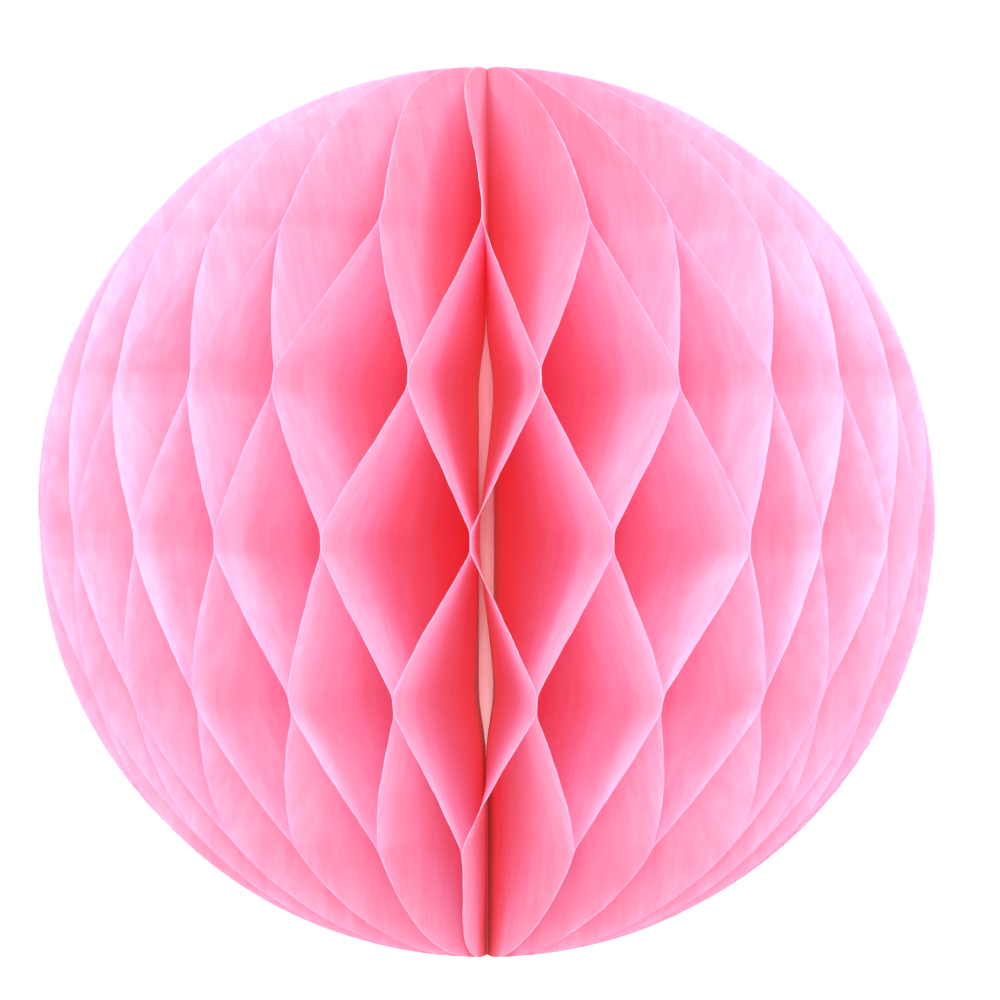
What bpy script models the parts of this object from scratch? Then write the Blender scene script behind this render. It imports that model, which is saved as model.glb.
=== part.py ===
"""Honeycomb paper ball: tissue leaves, glued in alternate strips, bound to a spine and fanned out."""

import math

import bmesh
import bpy

# Sizes in metres. The ball's axis is +Z, and the origin is its centre.
LEAF_RADIUS = 0.100
LEAF_OFFSET = 0.0009
POLE_END_RADIUS = 0.006

# Leaves: real tissue is thinner. The sheet thickens from the binding to the rim, as the fan opens.
PAIRS_PER_TURN = 24
SHEET_ROOT = 0.00012
SHEET_RIM = 0.0003
ROOT_GAP = 0.0001
GLUE_GAP = 0.0003

# Glue rows, counted from the row nearest the middle, which lies a little below it. The leaves hang
# from their top ends, so the uppermost row sits a little high. The rows on each side of the middle
# one are an even number, because the outermost rows glue the same leaves together as it does.
ROWS_EACH_SIDE = 2
ROW_PITCH = 0.03335
ROW_SHIFT = -0.0061
TOP_ROW_LIFT = 0.0018
STRIP_HEIGHT = 0.0063

# The end cards and the spine. Between the glue rows just above and below the middle one, the two front
# leaves stand this far apart round the binding, and the spine shows between them.
CARD_THICKNESS = 0.0006
CARD_GAP = 0.0003
SPINE_CLEARANCE = 0.0003
SPINE_SHOWS = 0.0034
SPINE_SIDES = 24

# How finely the pieces are cut: steps of a leaf between two rows, and degrees along its rim.
SWING_STEPS = 3
RIM_STEP_DEG = 8.0
CARD_ARC_STEPS = 40

# Where the pleats stand, in degrees round the axis from the front, left to right. The front ones are
# placed one by one, because a paper ball opens unevenly. The rest of the turn is shared out evenly,
# but for a small unevenness that changes its sign every few pleats.
FIRST_FRONT_PAIR = -4
FRONT_TOP = (-73.0, -58.0, -41.0, -24.0, -8.0, 13.0, 19.5, 43.0, 57.0, 72.0)
FRONT_UPPER = (-58.8, -46.1, -32.2, -16.0, -0.6, 15.5, 28.8, 45.9, 56.7, 70.0)
FRONT_MIDDLE = (-61.4, -47.2, -33.8, -19.5, -1.8, 14.9, 32.7, 44.0, 58.4, 68.7)
FRONT_LOWER = (-60.7, -49.5, -34.5, -18.5, -4.1, 15.0, 29.5, 48.5, 58.0, 70.0)
FRONT_BOTTOM = (-60.0, -47.0, -31.5, -19.2, -8.0, 11.5, 24.0, 44.0, 56.0, 69.0)
FIRST_FRONT_BETWEEN = -4.5
FRONT_UPPER_BETWEEN = (-66.1, -54.4, -39.6, -26.8, -9.4, 6.6, 24.0, 37.7, 50.7, 65.0)
FRONT_LOWER_BETWEEN = (-66.8, -54.7, -41.1, -25.9, -11.8, 6.4, 23.0, 38.5, 50.2, 63.1)
BACK_UNEVENNESS_DEG = 1.2
BACK_UNEVENNESS_TURN = 5.0

# Above the top row and below the bottom one a pleat moves to its place at the pole. It is there after
# this share of the way, and the power makes it start slowly.
POLE_SPREAD_SHARE = 2.0 / 3.0
POLE_SPREAD_POWER = 1.3

LEAF_COUNT = 2 * PAIRS_PER_TURN + 2
SEAM_PAIR = PAIRS_PER_TURN // 2
RIGHT_FRONT_LEAF = LEAF_COUNT // 2
ROOT_RADIUS = (
    LEAF_COUNT * (SHEET_ROOT + ROOT_GAP) + ROOT_GAP + 2.0 * CARD_THICKNESS + CARD_GAP + SPINE_SHOWS
) / (2.0 * math.pi)
SPINE_RADIUS = ROOT_RADIUS - SPINE_CLEARANCE
END_LATITUDE = math.acos((POLE_END_RADIUS - LEAF_OFFSET) / LEAF_RADIUS)
END_HEIGHT = LEAF_RADIUS * math.sin(END_LATITUDE)


def clear_scene():
    """Remove every object of the open file."""
    for existing in list(bpy.data.objects):
        bpy.data.objects.remove(existing, do_unlink=True)


def paper_material(name, colour, roughness):
    """A dull paper of one colour."""
    material = bpy.data.materials.new(name)
    material.use_nodes = True
    shader = material.node_tree.nodes["Principled BSDF"]
    shader.inputs["Base Color"].default_value = (*colour, 1.0)
    shader.inputs["Roughness"].default_value = roughness
    shader.inputs["Metallic"].default_value = 0.0
    return material


def mesh_object(name, points, faces, material):
    """One closed object from points and faces, with its faces turned outwards."""
    mesh = bpy.data.meshes.new(name)
    mesh.from_pydata(points, [], faces)
    shape = bmesh.new()
    shape.from_mesh(mesh)
    bmesh.ops.recalc_face_normals(shape, faces=shape.faces)
    shape.to_mesh(mesh)
    shape.free()
    mesh.materials.append(material)
    made = bpy.data.objects.new(name, mesh)
    bpy.context.scene.collection.objects.link(made)
    return made


def between(low, high, share):
    """The value that lies a share of the way from low to high."""
    return low + (high - low) * share


def rim_radius(height):
    """Distance of a leaf's rim from the axis at a height."""
    return LEAF_OFFSET + math.sqrt(LEAF_RADIUS ** 2 - height ** 2)


def along_leaf(radius):
    """How far out a radius is, from 0 at the binding to 1 at the widest rim."""
    return (radius - ROOT_RADIUS) / (LEAF_OFFSET + LEAF_RADIUS - ROOT_RADIUS)


def sheet_thickness(radius):
    """Thickness of a leaf at a distance from the axis."""
    return between(SHEET_ROOT, SHEET_RIM, along_leaf(radius))


def glue_gap(radius):
    """Gap between two leaves in a glue strip at a distance from the axis."""
    return between(ROOT_GAP, GLUE_GAP, along_leaf(radius))


def half_pair_angle(radius):
    """Half the angle between the middles of two glued leaves."""
    return math.asin(0.5 * (sheet_thickness(radius) + glue_gap(radius)) / radius)


def card_outer_face():
    """Distance of a card's outer face from the seam between the two cards."""
    return 0.5 * CARD_GAP + CARD_THICKNESS


def seam_angle(radius):
    """Angle from the seam to the middle of the first pair of leaves, which lies flat on its card."""
    first_leaf = glue_gap(radius) + sheet_thickness(radius)
    stack = card_outer_face() + first_leaf + 0.5 * glue_gap(radius)
    return math.asin(stack / radius)


def full_turn(front, first_front, last_place):
    """Angles from one side of the seam to the other, with the hand-placed front ones in the middle.

    Places are counted in pleats from the front, and the seam is SEAM_PAIR places away on each side.
    """
    last_front = first_front + len(front) - 1
    left_step = (front[0] + 180.0) / (first_front + SEAM_PAIR)
    right_step = (180.0 - front[-1]) / (SEAM_PAIR - last_front)
    angles = []
    place = -last_place
    while place <= last_place:
        uneven = BACK_UNEVENNESS_DEG * math.sin(BACK_UNEVENNESS_TURN * place)
        if abs(place) == SEAM_PAIR:
            angles.append(math.copysign(180.0, place))
        elif place < first_front:
            angles.append(-180.0 + (place + SEAM_PAIR) * left_step + uneven)
        elif place > last_front:
            angles.append(180.0 - (SEAM_PAIR - place) * right_step + uneven)
        else:
            angles.append(front[int(round(place - first_front))])
        place += 1
    return [math.radians(angle) for angle in angles]


def pair_row(front):
    """Angles of the pairs that the odd rows glue, from seam to seam."""
    return full_turn(front, FIRST_FRONT_PAIR, SEAM_PAIR)


def between_row(front):
    """Angles of the pairs that the even rows glue, which stand between the others."""
    return full_turn(front, FIRST_FRONT_BETWEEN, SEAM_PAIR - 0.5)


def leaf_place(leaf, step):
    """Which glued pair a leaf belongs to in a row of the given kind, and on which side of it."""
    if step % 2 == 0:
        return leaf // 2, (-1.0 if leaf % 2 == 0 else 1.0)
    return (leaf - 1) // 2, (1.0 if leaf % 2 == 0 else -1.0)


def row_steps():
    """Numbers of the glue rows from the lowest to the highest, 0 being the middle one."""
    return list(range(-ROWS_EACH_SIDE, ROWS_EACH_SIDE + 1))


def row_angles(step):
    """Angles of the glued pairs in a row."""
    if step % 2:
        return between_row(FRONT_UPPER_BETWEEN if step > 0 else FRONT_LOWER_BETWEEN)
    if step == 0:
        return pair_row(FRONT_MIDDLE)
    return pair_row(FRONT_UPPER if step > 0 else FRONT_LOWER)


def pole_levels(side, strip_end, front_row, front_pole):
    """Levels from a strip's end to the pole on its side, each with its height and its pair angles."""
    start = math.asin(side * strip_end / LEAF_RADIUS)
    count = max(2, round((END_LATITUDE - start) / math.radians(RIM_STEP_DEG)))
    levels = []
    for index in range(1, count + 1):
        share = index / count
        height = side * LEAF_RADIUS * math.sin(between(start, END_LATITUDE, share))
        spread = min(1.0, share / POLE_SPREAD_SHARE) ** POLE_SPREAD_POWER
        angles = [between(a, b, spread) for a, b in zip(pair_row(front_row), pair_row(front_pole))]
        levels.append((height, angles))
    return levels


def row_heights(steps):
    """Heights of the middles of the glue rows."""
    heights = [ROW_SHIFT + step * ROW_PITCH for step in steps]
    heights[-1] += TOP_ROW_LIFT
    return heights


def strip_angle(leaf, row, radius):
    """Angle of a leaf's middle inside a glue row, where the row is its step and its pair angles."""
    step, angles = row
    if leaf == 0:
        return -math.pi - half_pair_angle(radius)
    if leaf == LEAF_COUNT - 1:
        return math.pi + half_pair_angle(radius)
    pair, side = leaf_place(leaf, step)
    return angles[pair] + side * half_pair_angle(radius)


def shows_spine(step):
    """Whether the spine shows at a glue row: at the middle one and its two neighbours."""
    return abs(step) <= 1


def leaf_levels(leaf):
    """Levels of a leaf from the bottom to the top.

    Each is a height, the angle of the rim, how far the two front leaves are apart, from 0 where they
    are glued together to 1 where they are glued to others, and whether the spine shows there. A leaf
    runs straight up inside a glue strip and swings straight across from strip to strip.
    """
    steps = row_steps()
    rows = [(step, row_angles(step)) for step in steps]
    heights = row_heights(steps)
    half = 0.5 * STRIP_HEIGHT
    found = []
    lowest = pole_levels(-1.0, heights[0] - half, FRONT_LOWER, FRONT_BOTTOM)
    for height, angles in reversed(lowest):
        found.append((height, strip_angle(leaf, (0, angles), rim_radius(height)), 0.0, False))
    for index, row in enumerate(rows):
        apart = float(row[0] % 2)
        for height in (heights[index] - half, heights[index] + half):
            found.append((height, strip_angle(leaf, row, rim_radius(height)), apart, shows_spine(row[0])))
        if index + 1 < len(rows):
            after = rows[index + 1]
            shows = shows_spine(row[0]) and shows_spine(after[0])
            for swing in range(1, SWING_STEPS):
                share = swing / SWING_STEPS
                height = between(heights[index] + half, heights[index + 1] - half, share)
                radius = rim_radius(height)
                angle = between(strip_angle(leaf, row, radius), strip_angle(leaf, after, radius), share)
                found.append((height, angle, between(apart, float(after[0] % 2), share), shows))
    for height, angles in pole_levels(1.0, heights[-1] + half, FRONT_UPPER, FRONT_TOP):
        found.append((height, strip_angle(leaf, (0, angles), rim_radius(height)), 0.0, False))
    return found


def squeezed(angle, radius):
    """The angle after the cards and the leaves on them have taken their share of the turn."""
    return angle * (1.0 - seam_angle(radius) / math.pi)


def around(radius, angle, height):
    """A point at an angle from the front, which is -Y."""
    return (radius * math.sin(angle), -radius * math.cos(angle), height)


def root_angle(leaf, apart, shows):
    """Angle at which a leaf leaves the binding: all leaves are spaced evenly there.

    Where the spine shows, they leave it free at the front. The right one of the two front leaves
    crosses it, because it stands on its left where the two are glued together.
    """
    card_edge = math.asin(card_outer_face() / ROOT_RADIUS)
    first = math.pi - card_edge - (ROOT_GAP + 0.5 * SHEET_ROOT) / ROOT_RADIUS
    free = SPINE_SHOWS / ROOT_RADIUS if shows else 0.0
    spacing = (2.0 * first - free) / (LEAF_COUNT - 1)
    angle = leaf * spacing - first
    if leaf == RIGHT_FRONT_LEAF:
        return angle + apart * free
    if leaf > RIGHT_FRONT_LEAF:
        return angle + free
    return angle


def section(leaf, level):
    """The four corners of a leaf's section at a level: two at the binding and two at the rim."""
    height, angle, apart, shows = level
    outer = rim_radius(height)
    root = around(ROOT_RADIUS, root_angle(leaf, apart, shows), height)
    rim = around(outer, squeezed(angle, outer), height)
    run_x = rim[0] - root[0]
    run_y = rim[1] - root[1]
    length = math.hypot(run_x, run_y)
    side_x = -run_y / length
    side_y = run_x / length
    corners = []
    for point, thickness, side in (
        (root, SHEET_ROOT, -0.5),
        (rim, sheet_thickness(outer), -0.5),
        (rim, sheet_thickness(outer), 0.5),
        (root, SHEET_ROOT, 0.5),
    ):
        shift = side * thickness
        corners.append((point[0] + shift * side_x, point[1] + shift * side_y, height))
    return corners


def make_leaf(leaf, material):
    """One tissue leaf: a ruled sheet from the binding to a rim that swings from row to row."""
    points = []
    levels = leaf_levels(leaf)
    for level in levels:
        points.extend(section(leaf, level))
    faces = [(3, 2, 1), (3, 1, 0)]
    for index in range(len(levels) - 1):
        low = 4 * index
        high = low + 4
        # Both sides are cut along the same diagonal, so the sheet keeps its thickness.
        faces += [(low, low + 1, high + 1), (low, high + 1, high)]
        faces += [(low + 3, high + 2, low + 2), (low + 3, high + 3, high + 2)]
        faces += [(low + 1, low + 2, high + 2), (low + 1, high + 2, high + 1)]
        faces += [(low + 3, low, high), (low + 3, high, high + 3)]
    top = 4 * (len(levels) - 1)
    faces += [(top, top + 1, top + 2), (top, top + 2, top + 3)]
    return mesh_object(f"tissue_leaf_{leaf + 1:02d}", points, faces, material)


def make_card(name, side, material):
    """One end card: a flat half disc at the back, on its side of the seam."""
    inner = side * 0.5 * CARD_GAP
    outer = side * card_outer_face()
    outline = [(ROOT_RADIUS, -END_HEIGHT)]
    for index in range(CARD_ARC_STEPS + 1):
        latitude = between(-END_LATITUDE, END_LATITUDE, index / CARD_ARC_STEPS)
        outline.append((LEAF_OFFSET + LEAF_RADIUS * math.cos(latitude), LEAF_RADIUS * math.sin(latitude)))
    outline.append((ROOT_RADIUS, END_HEIGHT))
    count = len(outline)
    points = [(inner, y, z) for y, z in outline] + [(outer, y, z) for y, z in outline]
    faces = [tuple(range(count)), tuple(range(2 * count - 1, count - 1, -1))]
    for index in range(count):
        after = (index + 1) % count
        faces.append((index, after, count + after, count + index))
    return mesh_object(name, points, faces, material)


def make_spine(material):
    """The binding along the axis, as long as the leaves' straight edges."""
    shape = bmesh.new()
    bmesh.ops.create_cone(
        shape,
        cap_ends=True,
        segments=SPINE_SIDES,
        radius1=SPINE_RADIUS,
        radius2=SPINE_RADIUS,
        depth=2.0 * END_HEIGHT,
    )
    mesh = bpy.data.meshes.new("spine")
    shape.to_mesh(mesh)
    shape.free()
    mesh.materials.append(material)
    mesh.shade_smooth()
    mesh.set_sharp_from_angle(angle=math.radians(40.0))
    made = bpy.data.objects.new("spine", mesh)
    bpy.context.scene.collection.objects.link(made)
    return made


def build():
    """Make the whole ball."""
    clear_scene()
    tissue = paper_material("tissue", (0.93, 0.36, 0.58), 0.75)
    card = paper_material("card", (0.86, 0.80, 0.70), 0.8)
    binding = paper_material("binding", (0.93, 0.74, 0.62), 0.7)
    for leaf in range(LEAF_COUNT):
        make_leaf(leaf, tissue)
    make_card("end_card_left", -1.0, card)
    make_card("end_card_right", 1.0, card)
    make_spine(binding)


build()
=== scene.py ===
import math

import bpy
import numpy as np
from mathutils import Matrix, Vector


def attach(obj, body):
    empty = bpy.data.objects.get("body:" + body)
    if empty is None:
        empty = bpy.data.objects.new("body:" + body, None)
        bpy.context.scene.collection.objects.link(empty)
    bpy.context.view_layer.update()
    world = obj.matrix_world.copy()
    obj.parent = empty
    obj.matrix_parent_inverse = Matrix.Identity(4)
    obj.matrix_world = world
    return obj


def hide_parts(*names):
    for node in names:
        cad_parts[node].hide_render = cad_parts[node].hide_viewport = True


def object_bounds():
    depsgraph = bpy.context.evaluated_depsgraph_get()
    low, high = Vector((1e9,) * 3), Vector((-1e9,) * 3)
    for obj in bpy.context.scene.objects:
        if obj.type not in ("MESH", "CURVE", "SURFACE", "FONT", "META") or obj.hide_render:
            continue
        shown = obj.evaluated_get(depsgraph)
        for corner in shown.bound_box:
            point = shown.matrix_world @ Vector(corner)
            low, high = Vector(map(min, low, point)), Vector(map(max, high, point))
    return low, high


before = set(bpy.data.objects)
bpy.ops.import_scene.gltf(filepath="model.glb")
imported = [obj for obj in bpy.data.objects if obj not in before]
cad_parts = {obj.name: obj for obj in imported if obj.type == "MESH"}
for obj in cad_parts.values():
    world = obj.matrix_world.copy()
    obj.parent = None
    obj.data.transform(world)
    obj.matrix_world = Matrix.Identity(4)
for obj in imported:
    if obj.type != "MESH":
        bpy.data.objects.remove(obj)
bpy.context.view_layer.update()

# Lengths are in metres. The ball's axis is +Z, and the viewer of the photograph is at -Y.
LEAF_PREFIX = "tissue_leaf_"
SHEET_PREFIX = "tissue_sheet_"

# The photograph, in pixels of its 1000 x 1000 frame: where the axis and the middle of the ball are.
PHOTO_SIZE = 1000
PHOTO_AXIS_X = 486
PHOTO_MIDDLE_Y = 512
PHOTO_FOCAL = 3980
CAMERA_DISTANCE = 0.9
SENSOR_WIDTH = 36.0

# How the corners of a CAD leaf are read.
CORNER_DIGITS = 7
SAME_HEIGHT = 0.00001
SAME_ANGLE = 0.002

# How finely a leaf is cut: degrees along the rim, strips from the binding to the rim.
RIM_STEP_DEG = 1.25
STRIPS = 12
STRIP_POWER = 1.4
CLOSEST_LEVELS = 0.0003
SHARP_DEG = 50.0

# The sheet, and how close two glued leaves are beside the gap that the CAD keeps between them.
SHEET_THICKNESS = 0.0001
GLUED_WITHIN = 0.001
PAIR_CLOSENESS = 0.25
# Between which heights a CAD section is a glue strip, and how much sooner the paper comes free of it.
STRIP_HEIGHTS = (0.005, 0.0075)
STRIP_TRIM = 0.0009

# The soft bend where a leaf leaves a glue strip, near a pole and at the binding.
FOLD_REACH = 0.0011
POLE_REACH = 0.0045
ROOT_REACH = 0.0030
# Near a pole, from this share of the radius on and over this share, the longer bend takes over.
POLE_FROM = 0.78
POLE_BLEND = 0.1

# Waves of the loose paper between the glue strips: amplitude at the rim, waves per metre of height, and
# how much each leaf's wave is shifted from the last one's.
WAVES = ((0.00009, 47.0, 1.7), (0.00006, 131.0, 4.1), (0.00003, 290.0, 7.3))
# How far a wave turns from the binding to the rim, and how late it grows on the way.
WAVE_LEAN = 2.2
WAVE_GROWTH = 1.5
CUT_UNEVENNESS = 0.00006
CUT_WAVES = 410.0
CUT_SHIFT = 2.1

# Colours are light values. The tissue's colour by the depth from the rim: painted shade, deepening to red
# where less light reaches into the cells.
TISSUE_SHADE_DEPTHS = (
    (0.000, (1.0, 0.64, 0.82)),
    (0.003, (1.0, 0.62, 0.77)),
    (0.008, (1.0, 0.59, 0.74)),
    (0.015, (1.0, 0.585, 0.74)),
    (0.020, (1.0, 0.575, 0.74)),
    (0.025, (1.0, 0.56, 0.73)),
    (0.030, (1.0, 0.51, 0.68)),
    (0.036, (1.0, 0.44, 0.61)),
    (0.043, (1.0, 0.38, 0.53)),
    (0.050, (1.0, 0.33, 0.47)),
    (0.062, (1.0, 0.26, 0.38)),
    (0.075, (1.0, 0.17, 0.26)),
    (0.098, (1.0, 0.10, 0.12)),
)
# Within this distance from the axis, the painted shade goes by that distance and not by the way in from the
# rim.
AXIS_SHADE_REACH = (0.004, 0.024)
# Towards the top, where the light comes from, this fades out between these heights.
TOP_FADE = (0.045, 0.090)
# Painted shade in the crease at the binding, where the leaves darken: how far from the axis, and how much at
# two heights, more at the lower one.
CREASE_SHADE_REACH = (0.0026, 0.0100)
CREASE_SHADE_HEIGHTS = (-0.060, 0.050)
CREASE_SHADE_DEPTHS = (1.0, 0.2)
TISSUE_CREASE_SHADE = (0.66, 0.20, 0.15)
# Fine fibres and broad faint pleats, drawn out along the axis: features per metre, detail, roughness,
# the range of the noise that counts, and how strong they are.
FIBRE_STRETCH = (1.0, 1.0, 0.22)
TISSUE_FIBRE = (1.0, 0.72, 0.82)
FIBRE_NOISE = (420.0, 3.0, 0.7)
FIBRE_RANGE = (0.3, 0.7)
FIBRE_DEPTH = 0.5
PLEAT_NOISE = (120.0, 1.0, 0.55)
PLEAT_RANGE = (0.35, 0.65)
PLEAT_DEPTH = 0.3
# The cut edge is a little lighter: partly the paler tone of its cut fibres, partly a painted highlight.
TISSUE_EDGE_TONE_AND_HIGHLIGHT = (1.0, 0.80, 0.90)
EDGE_TONE_AND_HIGHLIGHT_REACH = (0.0004, 0.0012)
EDGE_TONE_AND_HIGHLIGHT_SHARE = 0.08
TISSUE_BUMP = (0.35, 0.00006)
TISSUE_SURFACE = {
    "Roughness": 0.82,
    "Metallic": 0.0,
    "Specular IOR Level": 0.3,
    "Sheen Weight": 0.25,
    "Sheen Roughness": 0.5,
    "Sheen Tint": (1.0, 0.82, 0.92, 1.0),
}
# The share of the light that goes through the tissue.
THROUGH_SHARE = 0.5

# Card and binding: two colours, fibres per metre, their stretch along the axis, roughness, bump height.
CARD_LOOK = ((0.62, 0.55, 0.46), (0.80, 0.74, 0.65), 700.0, 0.25, 0.85, 0.00005)
BINDING_LOOK = ((0.93, 0.84, 0.83), (1.0, 0.96, 0.96), 1100.0, 0.12, 0.75, 0.00008)
PAPER_DETAIL = (6.0, 0.65)
PAPER_RANGE = (0.3, 0.7)
PAPER_BUMP = 0.5
PAPER_SPECULAR = 0.3
# Faint clouds in the paper: their scale beside the fibres', detail, roughness, range and strength.
CLOUD_SCALE = 0.08
CLOUD_DETAIL = (3.0, 0.55)
CLOUD_RANGE = (0.35, 0.65)
CLOUD_DEPTH = 0.35

# Between these heights the spine is bare. Above and below, the leaves' edges close over it, and the spine
# there is painted the dark red of the shaded tissue: painted shade.
SPINE_CREAM = (-0.052, 0.041)
SPINE_FADE = 0.004
SPINE_SHADE = (0.95, 0.07, 0.09)
# The bare spine turns pinker upwards between these heights: painted shade and pink light reflected from the
# tissue round it.
SPINE_PINK_FROM = (-0.020, 0.008)
SPINE_PINK_LIGHT = (0.84, 0.62, 0.70)

# The floor: how far below the ball, how wide, its two greys and its faint clouds.
FLOOR_DROP = 0.08
FLOOR_SIZE = 6.0
FLOOR_GREYS = ((0.80, 0.80, 0.80), (0.83, 0.83, 0.83))
FLOOR_NOISE = (9.0, 3.0, 0.55)
FLOOR_RANGE = (0.3, 0.7)
# The floor's own white for rays that see it: from this distance to that, from this strength to that.
FLOOR_GLOW = (0.25, 1.1, 0.42, 1.0)

WHITE = (1.0, 1.0, 1.0, 1.0)
WORLD_COLOUR = (1.0, 0.985, 1.0, 1.0)
WORLD_LIGHT = 0.15
# Name, azimuth from the front, elevation, distance, size, power.
LAMPS = (
    ("front", 0.0, 5.0, 1.6, 0.5, 11.0),
    ("top", 0.0, 55.0, 1.6, 0.6, 9.0),
    ("left", -27.0, 40.0, 1.5, 0.4, 12.0),
    ("right", 27.0, 40.0, 1.5, 0.4, 11.0),
    ("back", 180.0, 40.0, 1.5, 0.5, 8.0),
)

# Light paths: past the traced bounces, a cell is filled with this much of the world's light.
MOST_BOUNCES = 5
TRACED_BOUNCES = 2
CELL_REACH = 0.00003
CELL_LIGHT = 6.0


def leaf_sections(node):
    """A CAD leaf, section by section from the bottom to the top.

    Each section is a height, the middle of the leaf at the binding and the middle at the rim. Where the
    binding edge runs straight, its corners may be missing, and the middle comes from the next sections.
    """
    places = {tuple(round(value, CORNER_DIGITS) for value in vertex.co) for vertex in node.data.vertices}
    corners = sorted(places, key=lambda corner: corner[2])
    groups = []
    for corner in corners:
        if groups and corner[2] - groups[-1][0][2] < SAME_HEIGHT:
            groups[-1].append(corner)
        else:
            groups.append([corner])
    heights = np.array([group[0][2] for group in groups])
    rims = []
    known = []
    inner = []
    for index, group in enumerate(groups):
        group.sort(key=lambda corner: math.hypot(corner[0], corner[1]))
        rims.append(np.array(group[-2:])[:, :2].mean(axis=0))
        if len(group) >= 4:
            known.append(index)
            inner.append(np.array(group[:2])[:, :2].mean(axis=0))
    inner = np.array(inner)
    across = np.interp(heights, heights[known], inner[:, 0])
    along = np.interp(heights, heights[known], inner[:, 1])
    return heights, np.stack((across, along), axis=1), np.array(rims)


def rim_circle(heights, rims):
    """Radius of the circle that a leaf's rim follows, and how far its centre is from the axis."""
    out = np.linalg.norm(rims, axis=1)
    low = int(np.argmin(out))
    wide = int(np.argmax(out))
    squares = out[wide] ** 2 + heights[wide] ** 2 - out[low] ** 2 - heights[low] ** 2
    offset = squares / (2.0 * (out[wide] - out[low]))
    return math.hypot(out[wide] - offset, heights[wide]), float(offset)


def averaged(knots, values, places, reach):
    """The straight-sided line through the knots, averaged over a reach on both sides of each place."""
    steps = np.diff(knots)
    slopes = np.diff(values) / steps
    areas = np.concatenate(([0.0], np.cumsum(0.5 * (values[1:] + values[:-1]) * steps)))

    def area_to(place):
        inside = np.clip(place, knots[0], knots[-1])
        index = np.clip(np.searchsorted(knots, inside) - 1, 0, len(steps) - 1)
        run = inside - knots[index]
        filled = areas[index] + values[index] * run + 0.5 * slopes[index] * run ** 2
        below = values[0] * np.minimum(place - knots[0], 0.0)
        above = values[-1] * np.maximum(place - knots[-1], 0.0)
        return filled + below + above

    return (area_to(places + reach) - area_to(places - reach)) / (2.0 * reach)


def leaf_heights(knots, radius):
    """Heights of the fine levels: even steps along the rim, and close ones where the paper bends."""
    reach = math.asin(knots[-1] / radius)
    count = int(round(2.0 * math.degrees(reach) / RIM_STEP_DEG))
    wanted = list(radius * np.sin(np.linspace(-reach, reach, count + 1)))
    for knot in knots[1:-1]:
        wanted += [knot + share * FOLD_REACH for share in (-1.0, -0.5, 0.0, 0.5, 1.0)]
    wanted.sort()
    heights = [knots[0]]
    for height in wanted:
        if height - heights[-1] > CLOSEST_LEVELS and knots[-1] - height > CLOSEST_LEVELS:
            heights.append(height)
    heights.append(knots[-1])
    return np.array(heights)


def glued_closer(leaves):
    """Rims of all leaves, with the two leaves of each glued pair moved together.

    The CAD keeps a gap between them, where the real ones lie on each other.
    """
    closer = [rims.copy() for heights, inner, rims in leaves]
    for index in range(len(leaves) - 1):
        left = leaves[index][2]
        right = leaves[index + 1][2]
        pair = np.linalg.norm(left - right, axis=1) < GLUED_WITHIN
        middle = 0.5 * (left[pair] + right[pair])
        closer[index][pair] = middle + (left[pair] - middle) * PAIR_CLOSENESS
        closer[index + 1][pair] = middle + (right[pair] - middle) * PAIR_CLOSENESS
    return closer


def glue_strips(knots, angles):
    """Numbers of the CAD sections where a glue strip begins: the rim keeps its angle to the next section."""
    steps = np.diff(knots)
    level = np.abs(np.diff(angles)) < SAME_ANGLE
    return np.flatnonzero(level & (steps > STRIP_HEIGHTS[0]) & (steps < STRIP_HEIGHTS[1]))


def looseness(knots, strips, heights):
    """How free the paper is at each height: 0 in a glue strip and 1 half way between two strips."""
    free = np.zeros_like(heights)
    edges = [knots[0]] + [knots[index + end] for index in strips for end in (0, 1)] + [knots[-1]]
    for low, high in zip(edges[0::2], edges[1::2]):
        if high > low:
            share = np.clip((heights - low) / (high - low), 0.0, 1.0)
            free = np.maximum(free, np.sin(math.pi * share))
    return free


def angles_round(points):
    """Angle of each point round the axis, from the front."""
    return np.unwrap(np.arctan2(points[:, 0], -points[:, 1]))


def round_axis(radius, angle):
    """Points at a distance and an angle round the axis, from the front."""
    return np.stack((radius * np.sin(angle), -radius * np.cos(angle)), axis=1)


def rim_angles(knots, angles, heights, radius):
    """The rim's angle at each height, with a soft bend at each fold and a longer one near the poles."""
    pole_share = np.clip((np.abs(heights) / radius - POLE_FROM) / POLE_BLEND, 0.0, 1.0)
    near = averaged(knots, angles, heights, FOLD_REACH)
    far = averaged(knots, angles, heights, POLE_REACH)
    return near * (1.0 - pole_share) + far * pole_share


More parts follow.
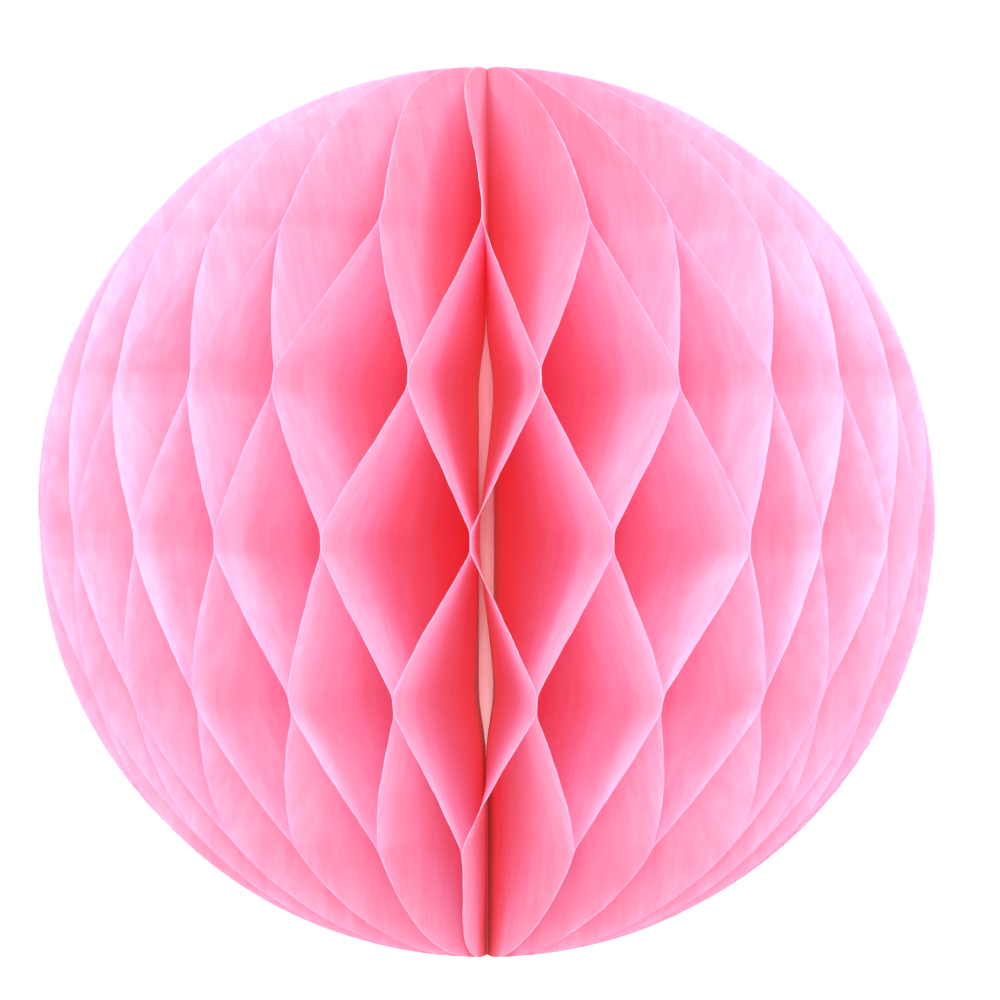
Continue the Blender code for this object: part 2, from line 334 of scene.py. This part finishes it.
def sheet_mesh(name, number, knots, inner, rims):
    """A leaf as a fine thin sheet: ruled from the binding to the rim, with soft folds and slight waves."""
    radius, offset = rim_circle(knots, rims)
    angles = angles_round(rims)
    strips = glue_strips(knots, angles)
    knots = knots.copy()
    knots[strips] += STRIP_TRIM
    knots[strips + 1] -= STRIP_TRIM
    heights = leaf_heights(knots, radius)
    out = offset + np.sqrt(np.maximum(radius ** 2 - heights ** 2, 0.0))
    cut = np.sin(heights * CUT_WAVES * 2.0 * math.pi + CUT_SHIFT * number)
    out = out - CUT_UNEVENNESS * (1.0 + cut)
    rim = round_axis(out, rim_angles(knots, angles, heights, radius))
    root = round_axis(np.linalg.norm(inner, axis=1).max(),
                      averaged(knots, angles_round(inner), heights, ROOT_REACH))
    run = rim - root
    side = np.stack((-run[:, 1], run[:, 0]), axis=1) / np.linalg.norm(run, axis=1, keepdims=True)
    share = 1.0 - (1.0 - np.linspace(0.0, 1.0, STRIPS + 1)) ** STRIP_POWER
    free = looseness(knots, strips, heights)
    lift = np.zeros((len(heights), STRIPS + 1))
    for size, rate, shift in WAVES:
        turn = heights[:, None] * rate * 2.0 * math.pi + shift * number + WAVE_LEAN * share[None, :]
        lift += size * np.sin(turn) * share[None, :] ** WAVE_GROWTH * free[:, None]
    middle = root[:, None, :] + run[:, None, :] * share[None, :, None] + side[:, None, :] * lift[:, :, None]
    level = np.broadcast_to(heights[:, None, None], (len(heights), STRIPS + 1, 1))
    points = []
    for face in (-0.5, 0.5):
        flat = middle + side[:, None, :] * (face * SHEET_THICKNESS)
        points.append(np.concatenate((flat, level), axis=2).reshape(-1, 3))
    return closed_sheet(name, np.concatenate(points), len(heights), STRIPS + 1)


def closed_sheet(name, points, levels, columns):
    """A closed mesh from two grids of points, one for each face of a sheet."""
    grid = np.arange(levels * columns).reshape(levels, columns)
    back = grid + levels * columns
    faces = [
        np.stack((grid[:-1, :-1], grid[:-1, 1:], grid[1:, 1:], grid[1:, :-1]), axis=-1).reshape(-1, 4),
        np.stack((back[:-1, :-1], back[1:, :-1], back[1:, 1:], back[:-1, 1:]), axis=-1).reshape(-1, 4),
        np.stack((grid[:-1, -1], back[:-1, -1], back[1:, -1], grid[1:, -1]), axis=-1),
        np.stack((grid[:-1, 0], grid[1:, 0], back[1:, 0], back[:-1, 0]), axis=-1),
        np.stack((grid[0, :-1], back[0, :-1], back[0, 1:], grid[0, 1:]), axis=-1),
        np.stack((grid[-1, :-1], grid[-1, 1:], back[-1, 1:], back[-1, :-1]), axis=-1),
    ]
    mesh = bpy.data.meshes.new(name)
    mesh.from_pydata(points.tolist(), [], np.concatenate(faces).tolist())
    mesh.shade_smooth()
    mesh.set_sharp_from_angle(angle=math.radians(SHARP_DEG))
    made = bpy.data.objects.new(name, mesh)
    bpy.context.scene.collection.objects.link(made)
    return made


def new_material(name):
    """An empty node material and its node tree."""
    material = bpy.data.materials.new(name)
    material.use_nodes = True
    material.node_tree.nodes.clear()
    return material, material.node_tree


def use_material(piece, material):
    """Give a piece one material."""
    piece.data.materials.clear()
    piece.data.materials.append(material)


def add_node(tree, kind, inputs=None, **settings):
    """A node of a kind, with its settings and with values for the sockets that are named."""
    node = tree.nodes.new(kind)
    for key, value in settings.items():
        setattr(node, key, value)
    for key, value in (inputs or {}).items():
        node.inputs[key].default_value = value
    return node


def math_node(tree, operation, first, second=None):
    """A math node between two sockets or numbers."""
    node = add_node(tree, "ShaderNodeMath", operation=operation)
    for index, value in enumerate((first, second)):
        if value is None:
            continue
        if isinstance(value, (int, float)):
            node.inputs[index].default_value = value
        else:
            tree.links.new(value, node.inputs[index])
    return node.outputs[0]


def map_range(tree, value, low, high, to_low, to_high):
    """A clamped and smooth change of range."""
    ends = {"From Min": low, "From Max": high, "To Min": to_low, "To Max": to_high}
    node = add_node(tree, "ShaderNodeMapRange", ends, interpolation_type="SMOOTHSTEP")
    tree.links.new(value, node.inputs["Value"])
    return node.outputs["Result"]


def mix_colour(tree, factor, first, second, blend="MIX"):
    """A colour between two colours or sockets."""
    node = add_node(tree, "ShaderNodeMix", data_type="RGBA", blend_type=blend)
    for value, socket in ((factor, node.inputs[0]), (first, node.inputs[6]), (second, node.inputs[7])):
        if isinstance(value, (int, float)):
            socket.default_value = value
        elif isinstance(value, tuple):
            socket.default_value = (*value, 1.0)
        else:
            tree.links.new(value, socket)
    return node.outputs[2]


def mix_shader(tree, factor, first, second):
    """A shader between two others, by a number or a socket."""
    node = add_node(tree, "ShaderNodeMixShader")
    if isinstance(factor, float):
        node.inputs[0].default_value = factor
    else:
        tree.links.new(factor, node.inputs[0])
    tree.links.new(first, node.inputs[1])
    tree.links.new(second, node.inputs[2])
    return node.outputs[0]


def noise(tree, vector, scale, detail, roughness):
    """A noise value at a scale, in features per metre."""
    node = add_node(tree, "ShaderNodeTexNoise", {"Scale": scale, "Detail": detail, "Roughness": roughness})
    tree.links.new(vector, node.inputs["Vector"])
    return node.outputs["Fac"]


def object_place(tree):
    """The place on the object, and the same split into X, Y and Z."""
    place = add_node(tree, "ShaderNodeTexCoord").outputs["Object"]
    split = add_node(tree, "ShaderNodeSeparateXYZ")
    tree.links.new(place, split.inputs[0])
    return place, split.outputs


def stretched(tree, place, stretch):
    """The place, scaled differently along each axis."""
    node = add_node(tree, "ShaderNodeMapping", {"Scale": stretch})
    tree.links.new(place, node.inputs["Vector"])
    return node.outputs["Vector"]


def bumped(tree, height, strength, distance):
    """A surface direction roughened by a height."""
    node = add_node(tree, "ShaderNodeBump", {"Strength": strength, "Distance": distance})
    tree.links.new(height, node.inputs["Height"])
    return node.outputs["Normal"]


def show(tree, shader, kind="ShaderNodeOutputMaterial"):
    """Make a shader the surface of its tree."""
    output = add_node(tree, kind)
    tree.links.new(shader, output.inputs["Surface"])


def depth_shade_colour(tree, split, radius, offset):
    """The tissue's colour by depth as painted shade, with the distance from the axis and the way in from the
    rim.
    """
    across = math_node(tree, "MULTIPLY", split["X"], split["X"])
    along = math_node(tree, "MULTIPLY", split["Y"], split["Y"])
    out = math_node(tree, "SQRT", math_node(tree, "ADD", across, along))
    level = math_node(tree, "MULTIPLY", split["Z"], split["Z"])
    rim = math_node(tree, "SQRT", math_node(tree, "SUBTRACT", radius ** 2, level))
    inwards = math_node(tree, "SUBTRACT", math_node(tree, "ADD", rim, offset), out)
    near_axis = map_range(tree, out, *AXIS_SHADE_REACH, 1.0, 0.0)
    below_top = map_range(tree, split["Z"], *TOP_FADE, 1.0, 0.0)
    from_axis = math_node(tree, "MULTIPLY", near_axis, below_top)
    further = math_node(tree, "SUBTRACT", math_node(tree, "SUBTRACT", radius + offset, out), inwards)
    depth = math_node(tree, "ADD", inwards, math_node(tree, "MULTIPLY", further, from_axis))
    # Painted shade: the colour deepens to red where less light reaches into the cells.
    ramp = add_node(tree, "ShaderNodeValToRGB")
    ramp.color_ramp.interpolation = "EASE"
    stops = ramp.color_ramp.elements
    while len(stops) < len(TISSUE_SHADE_DEPTHS):
        stops.new(1.0)
    for stop, (stop_depth, shade) in zip(stops, TISSUE_SHADE_DEPTHS):
        stop.position = stop_depth / radius
        stop.color = (*shade, 1.0)
    tree.links.new(math_node(tree, "DIVIDE", depth, radius), ramp.inputs["Fac"])
    return ramp.outputs["Color"], out, inwards


def tissue_material(radius, offset):
    """Thin pink tissue: it scatters light, lets it through, and deepens in colour towards the binding by
    painted shade.
    """
    material, tree = new_material("tissue_paper")
    place, split = object_place(tree)
    colour, out, inwards = depth_shade_colour(tree, split, radius, offset)
    # Painted shade in the crease by the binding, stronger towards the bottom.
    near_axis = map_range(tree, out, *CREASE_SHADE_REACH, 1.0, 0.0)
    by_height = map_range(tree, split["Z"], *CREASE_SHADE_HEIGHTS, *CREASE_SHADE_DEPTHS)
    crease_shade = math_node(tree, "MULTIPLY", near_axis, by_height)
    colour = mix_colour(tree, crease_shade, colour, TISSUE_CREASE_SHADE, "MULTIPLY")
    drawn = stretched(tree, place, FIBRE_STRETCH)
    fibres = noise(tree, drawn, *FIBRE_NOISE)
    fibre_depth = map_range(tree, fibres, *FIBRE_RANGE, 0.0, FIBRE_DEPTH)
    colour = mix_colour(tree, fibre_depth, colour, TISSUE_FIBRE, "MULTIPLY")
    pleat_depth = map_range(tree, noise(tree, drawn, *PLEAT_NOISE), *PLEAT_RANGE, 0.0, PLEAT_DEPTH)
    colour = mix_colour(tree, pleat_depth, colour, TISSUE_FIBRE, "MULTIPLY")
    # Lighter cut edge: the fibres' paler tone and a painted highlight.
    edge = map_range(tree, inwards, *EDGE_TONE_AND_HIGHLIGHT_REACH, EDGE_TONE_AND_HIGHLIGHT_SHARE, 0.0)
    colour = mix_colour(tree, edge, colour, TISSUE_EDGE_TONE_AND_HIGHLIGHT)
    normal = bumped(tree, fibres, *TISSUE_BUMP)
    paper = add_node(tree, "ShaderNodeBsdfPrincipled", TISSUE_SURFACE)
    through = add_node(tree, "ShaderNodeBsdfTranslucent")
    tree.links.new(colour, paper.inputs["Base Color"])
    tree.links.new(colour, through.inputs["Color"])
    tree.links.new(normal, paper.inputs["Normal"])
    tree.links.new(normal, through.inputs["Normal"])
    show(tree, mix_shader(tree, THROUGH_SHARE, paper.outputs[0], through.outputs[0]))
    return material


def spine_cream_and_shade(tree, height, cream):
    """The spine's cream, with painted shade and pink light upwards, and painted red shade where the leaves
    close over it.
    """
    # Painted shade and pink reflected light on the spine, growing upwards.
    pinker = map_range(tree, height, *SPINE_PINK_FROM, 0.0, 1.0)
    cream = mix_colour(tree, pinker, cream, SPINE_PINK_LIGHT, "MULTIPLY")
    # Painted shade: above and below the bare part, the spine is coloured the red of the shaded tissue.
    low, high = SPINE_CREAM
    above = map_range(tree, height, high, high + SPINE_FADE, 0.0, 1.0)
    below = map_range(tree, height, low - SPINE_FADE, low, 1.0, 0.0)
    return mix_colour(tree, math_node(tree, "MAXIMUM", above, below), cream, SPINE_SHADE)


def fibrous_material(name, look, recolour=None):
    """Paper or card with fibres that run along the axis, and perhaps coloured anew by height."""
    dark, light, scale, stretch, roughness, bump_height = look
    material, tree = new_material(name)
    place, split = object_place(tree)
    fibres = noise(tree, stretched(tree, place, (1.0, 1.0, stretch)), scale, *PAPER_DETAIL)
    cloud = noise(tree, place, CLOUD_SCALE * scale, *CLOUD_DETAIL)
    colour = mix_colour(tree, map_range(tree, fibres, *PAPER_RANGE, 0.0, 1.0), dark, light)
    colour = mix_colour(tree, map_range(tree, cloud, *CLOUD_RANGE, 0.0, CLOUD_DEPTH), colour, dark)
    # For the spine, this paints shade and pink light by height.
    if recolour:
        colour = recolour(tree, split["Z"], colour)
    surface = {"Roughness": roughness, "Metallic": 0.0, "Specular IOR Level": PAPER_SPECULAR}
    paper = add_node(tree, "ShaderNodeBsdfPrincipled", surface)
    tree.links.new(colour, paper.inputs["Base Color"])
    tree.links.new(bumped(tree, fibres, PAPER_BUMP, bump_height), paper.inputs["Normal"])
    show(tree, paper.outputs[0])
    return material


def seen_directly(tree):
    """1 for rays that show the background itself: camera, glossy and transmitted ones."""
    path = add_node(tree, "ShaderNodeLightPath")
    seen = math_node(tree, "MAXIMUM", path.outputs["Is Camera Ray"], path.outputs["Is Glossy Ray"])
    return math_node(tree, "MAXIMUM", seen, path.outputs["Is Transmission Ray"])


def floor_material():
    """A white floor that keeps a soft shadow round the ball and meets a white background."""
    material, tree = new_material("white_floor")
    place = object_place(tree)[0]
    far = add_node(tree, "ShaderNodeVectorMath", operation="LENGTH")
    tree.links.new(place, far.inputs[0])
    cloud = map_range(tree, noise(tree, place, *FLOOR_NOISE), *FLOOR_RANGE, 0.0, 1.0)
    matte = add_node(tree, "ShaderNodeBsdfDiffuse")
    tree.links.new(mix_colour(tree, cloud, *FLOOR_GREYS), matte.inputs["Color"])
    glow = add_node(tree, "ShaderNodeEmission", {"Color": WHITE})
    strength = map_range(tree, far.outputs["Value"], *FLOOR_GLOW)
    tree.links.new(math_node(tree, "MULTIPLY", seen_directly(tree), strength), glow.inputs["Strength"])
    both = add_node(tree, "ShaderNodeAddShader")
    tree.links.new(matte.outputs[0], both.inputs[0])
    tree.links.new(glow.outputs[0], both.inputs[1])
    show(tree, both.outputs[0])
    return material


def make_leaves():
    """Every tissue leaf as a fine sheet in place of its CAD solid."""
    names = sorted(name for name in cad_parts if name.startswith(LEAF_PREFIX))
    leaves = [leaf_sections(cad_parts[name]) for name in names]
    tissue = tissue_material(*rim_circle(leaves[0][0], leaves[0][2]))
    for number, (name, rims) in enumerate(zip(names, glued_closer(leaves))):
        heights, inner = leaves[number][:2]
        sheet = sheet_mesh(name.replace(LEAF_PREFIX, SHEET_PREFIX), number, heights, inner, rims)
        use_material(sheet, tissue)
        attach(sheet, "root")
        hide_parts(name)
        use_material(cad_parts[name], tissue)


def make_cards():
    """The end cards keep their CAD shape and get a card surface."""
    card = fibrous_material("grey_card", CARD_LOOK)
    for name in ("end_card_left", "end_card_right"):
        use_material(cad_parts[name], card)


def make_spine():
    """The binding keeps its CAD shape and gets a paper surface."""
    use_material(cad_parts["spine"], fibrous_material("binding_paper", BINDING_LOOK, spine_cream_and_shade))


def make_floor():
    """A white floor below the hanging ball."""
    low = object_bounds()[0]
    bpy.ops.mesh.primitive_plane_add(size=FLOOR_SIZE, location=(0.0, 0.0, low.z - FLOOR_DROP))
    floor = bpy.context.object
    floor.name = "floor"
    use_material(floor, floor_material())


def make_world():
    """A world that is seen as white and lights the ball only faintly."""
    world = bpy.data.worlds.new("white_room")
    bpy.context.scene.world = world
    world.use_nodes = True
    tree = world.node_tree
    tree.nodes.clear()
    light = add_node(tree, "ShaderNodeBackground", {"Color": WORLD_COLOUR, "Strength": WORLD_LIGHT})
    white = add_node(tree, "ShaderNodeBackground", {"Color": WHITE, "Strength": 1.0})
    both = mix_shader(tree, seen_directly(tree), light.outputs[0], white.outputs[0])
    show(tree, both, "ShaderNodeOutputWorld")


def make_lamps():
    """Soft lamps, each turned to the middle of the ball."""
    for name, azimuth, elevation, distance, size, power in LAMPS:
        data = bpy.data.lights.new(name, "AREA")
        data.shape = "DISK"
        data.size = size
        data.energy = power
        lamp = bpy.data.objects.new(name, data)
        bpy.context.scene.collection.objects.link(lamp)
        turn = math.radians(azimuth)
        rise = math.radians(elevation)
        lamp.location = (
            distance * math.sin(turn) * math.cos(rise),
            -distance * math.cos(turn) * math.cos(rise),
            distance * math.sin(rise),
        )
        lamp.rotation_euler = (math.pi / 2.0 - rise, 0.0, turn)


def set_light_paths():
    """Light passes from cell to cell through many leaves. Past a few bounces, the world's light stands in."""
    cycles = bpy.context.scene.cycles
    cycles.max_bounces = MOST_BOUNCES
    cycles.diffuse_bounces = MOST_BOUNCES
    cycles.transmission_bounces = MOST_BOUNCES
    cycles.use_light_tree = False
    cycles.use_fast_gi = True
    cycles.fast_gi_method = "REPLACE"
    cycles.ao_bounces = TRACED_BOUNCES
    cycles.ao_bounces_render = TRACED_BOUNCES
    bpy.context.scene.world.light_settings.distance = CELL_REACH
    bpy.context.scene.world.light_settings.ao_factor = CELL_LIGHT


def make_camera():
    """A level camera in front of the ball, shifted so that the ball lies where the photograph has it."""
    data = bpy.data.cameras.new("camera")
    data.sensor_width = SENSOR_WIDTH
    data.lens = SENSOR_WIDTH * PHOTO_FOCAL / PHOTO_SIZE
    data.shift_x = 0.5 - PHOTO_AXIS_X / PHOTO_SIZE
    data.shift_y = PHOTO_MIDDLE_Y / PHOTO_SIZE - 0.5
    camera = bpy.data.objects.new("camera", data)
    bpy.context.scene.collection.objects.link(camera)
    camera.location = (0.0, -CAMERA_DISTANCE, 0.0)
    camera.rotation_euler = (math.pi / 2.0, 0.0, 0.0)
    bpy.context.scene.camera = camera


bpy.context.scene.view_settings.view_transform = "Standard"
make_camera()
make_leaves()
make_cards()
make_spine()
make_floor()
make_world()
make_lamps()
set_light_paths()
